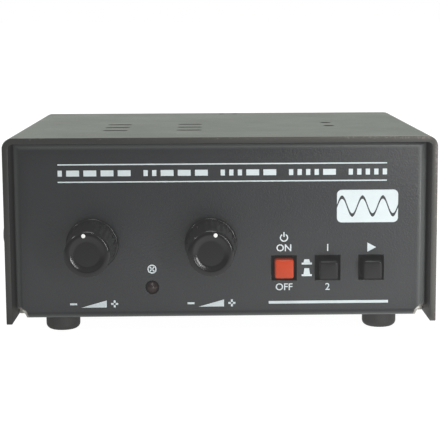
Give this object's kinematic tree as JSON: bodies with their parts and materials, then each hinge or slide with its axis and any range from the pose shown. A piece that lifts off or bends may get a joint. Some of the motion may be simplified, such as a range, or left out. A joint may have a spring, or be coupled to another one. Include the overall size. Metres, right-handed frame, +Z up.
{
  "type": "morse code keyer",
  "caption": "Tabletop morse code keyer in a folded metal case, with rotary knobs, pilot light and push buttons on the front, loudspeaker slots on top and jacks at the rear.",
  "frame": {"origin": "on the surface the keyer stands on, under the middle of its bounding box", "axes": "+X to the right as seen from the front, +Y to the rear, +Z up; the front panel faces -Y"},
  "size_m": [0.1108, 0.1016, 0.0508],
  "materials": {
    "case_paint": "fine-textured charcoal paint",
    "cover_paint": "fine-textured charcoal paint, worn light at the edges",
    "black_screw": "black, semi-gloss",
    "rubber": "matte black",
    "board": "green solder mask",
    "steel": "plated",
    "aluminium": "turned",
    "knob": "gloss black, white pointer dot",
    "lens": "dark red, unlit",
    "red_cap": "orange-red, satin",
    "black_cap": "black, satin",
    "ivory": "natural white",
    "switch": "dark grey",
    "paper": "matte paper",
    "magnet": "matte ferrite",
    "trimmer": "blue",
    "socket": "black",
    "can": "dark blue sleeve",
    "resonator": "orange, dipped",
    "snap": "black vinyl",
    "lead": "grey vinyl",
    "battery": "plain grey jacket, unlabelled"
  },
  "bodies": {
    "case": {"audio_capacitor": "can", "battery": "battery", "battery_clip": "steel", "battery_lead": "lead", "battery_snap": "snap", "board_screw_left": "steel", "board_screw_right": "steel", "chassis": "case_paint", "chip_socket": "socket", "circuit_board": "board", "cover": "cover_paint", "foot_front_left": "rubber", "foot_front_right": "rubber", "foot_rear_left": "rubber", "foot_rear_right": "rubber", "key_jack": "socket", "key_jack_nut": "steel", "keyer_chip": "socket", "keying_transistor": "socket", "message_switch": "switch", "mode_switch": "switch", "paddle_jack": "socket", "paddle_jack_nut": "steel", "pilot_light": "lens", "power_jack": "socket", "power_jack_nut": "steel", "power_switch": "switch", "regulator": "socket", "resonator": "resonator", "screw_front_left": "black_screw", "screw_front_right": "black_screw", "screw_rear_left": "black_screw", "screw_rear_right": "black_screw", "speaker_cone": "paper", "speaker_frame": "steel", "speaker_lead": "lead", "speaker_magnet": "magnet", "speed_control_body": "steel", "speed_nut": "steel", "speed_washer": "steel", "standoff_left": "steel", "standoff_right": "steel", "supply_capacitor": "can", "tone_trimmer_body": "trimmer", "volume_control_body": "steel", "volume_nut": "steel", "volume_washer": "steel", "weight_trimmer_body": "trimmer"},
    "speed_knob_and_shaft": {"speed_knob": "knob", "speed_shaft": "aluminium"},
    "volume_knob_and_shaft": {"volume_knob": "knob", "volume_shaft": "aluminium"},
    "power_slide": {"power_button": "red_cap", "power_plunger": "ivory"},
    "mode_slide": {"mode_button": "black_cap", "mode_plunger": "ivory"},
    "message_slide": {"message_button": "black_cap", "message_plunger": "ivory"},
    "weight_rotor": {"weight_trimmer_rotor": "ivory"},
    "tone_rotor": {"tone_trimmer_rotor": "ivory"}
  },
  "joints": [
    {"name": "speed_turn", "type": "hinge", "parent": "case", "child": "speed_knob_and_shaft", "pos_m": [-0.0324, -0.0333, 0.0238], "axis": [0, 1, 0], "range_deg": [-140.4, 159.6]},
    {"name": "volume_turn", "type": "hinge", "parent": "case", "child": "volume_knob_and_shaft", "pos_m": [-0.0026, -0.0333, 0.0238], "axis": [0, 1, 0], "range_deg": [-164.2, 135.8]},
    {"name": "power_press", "type": "slide", "parent": "case", "child": "power_slide", "axis": [0, 1, 0], "range_m": [-0.0022, 0.0008]},
    {"name": "mode_press", "type": "slide", "parent": "case", "child": "mode_slide", "axis": [0, 1, 0], "range_m": [0, 0.003]},
    {"name": "message_press", "type": "slide", "parent": "case", "child": "message_slide", "axis": [0, 1, 0], "range_m": [0, 0.003], "stiffness_N_per_m": 250, "springref_m": -0.002},
    {"name": "weight_trim", "type": "hinge", "parent": "case", "child": "weight_rotor", "pos_m": [0.0298, -0.0024, 0.016], "axis": [0, 0, 1], "range_deg": [-135, 135]},
    {"name": "tone_trim", "type": "hinge", "parent": "case", "child": "tone_rotor", "pos_m": [0.0298, 0.0087, 0.016], "axis": [0, 0, 1], "range_deg": [-135, 135]}
  ]
}
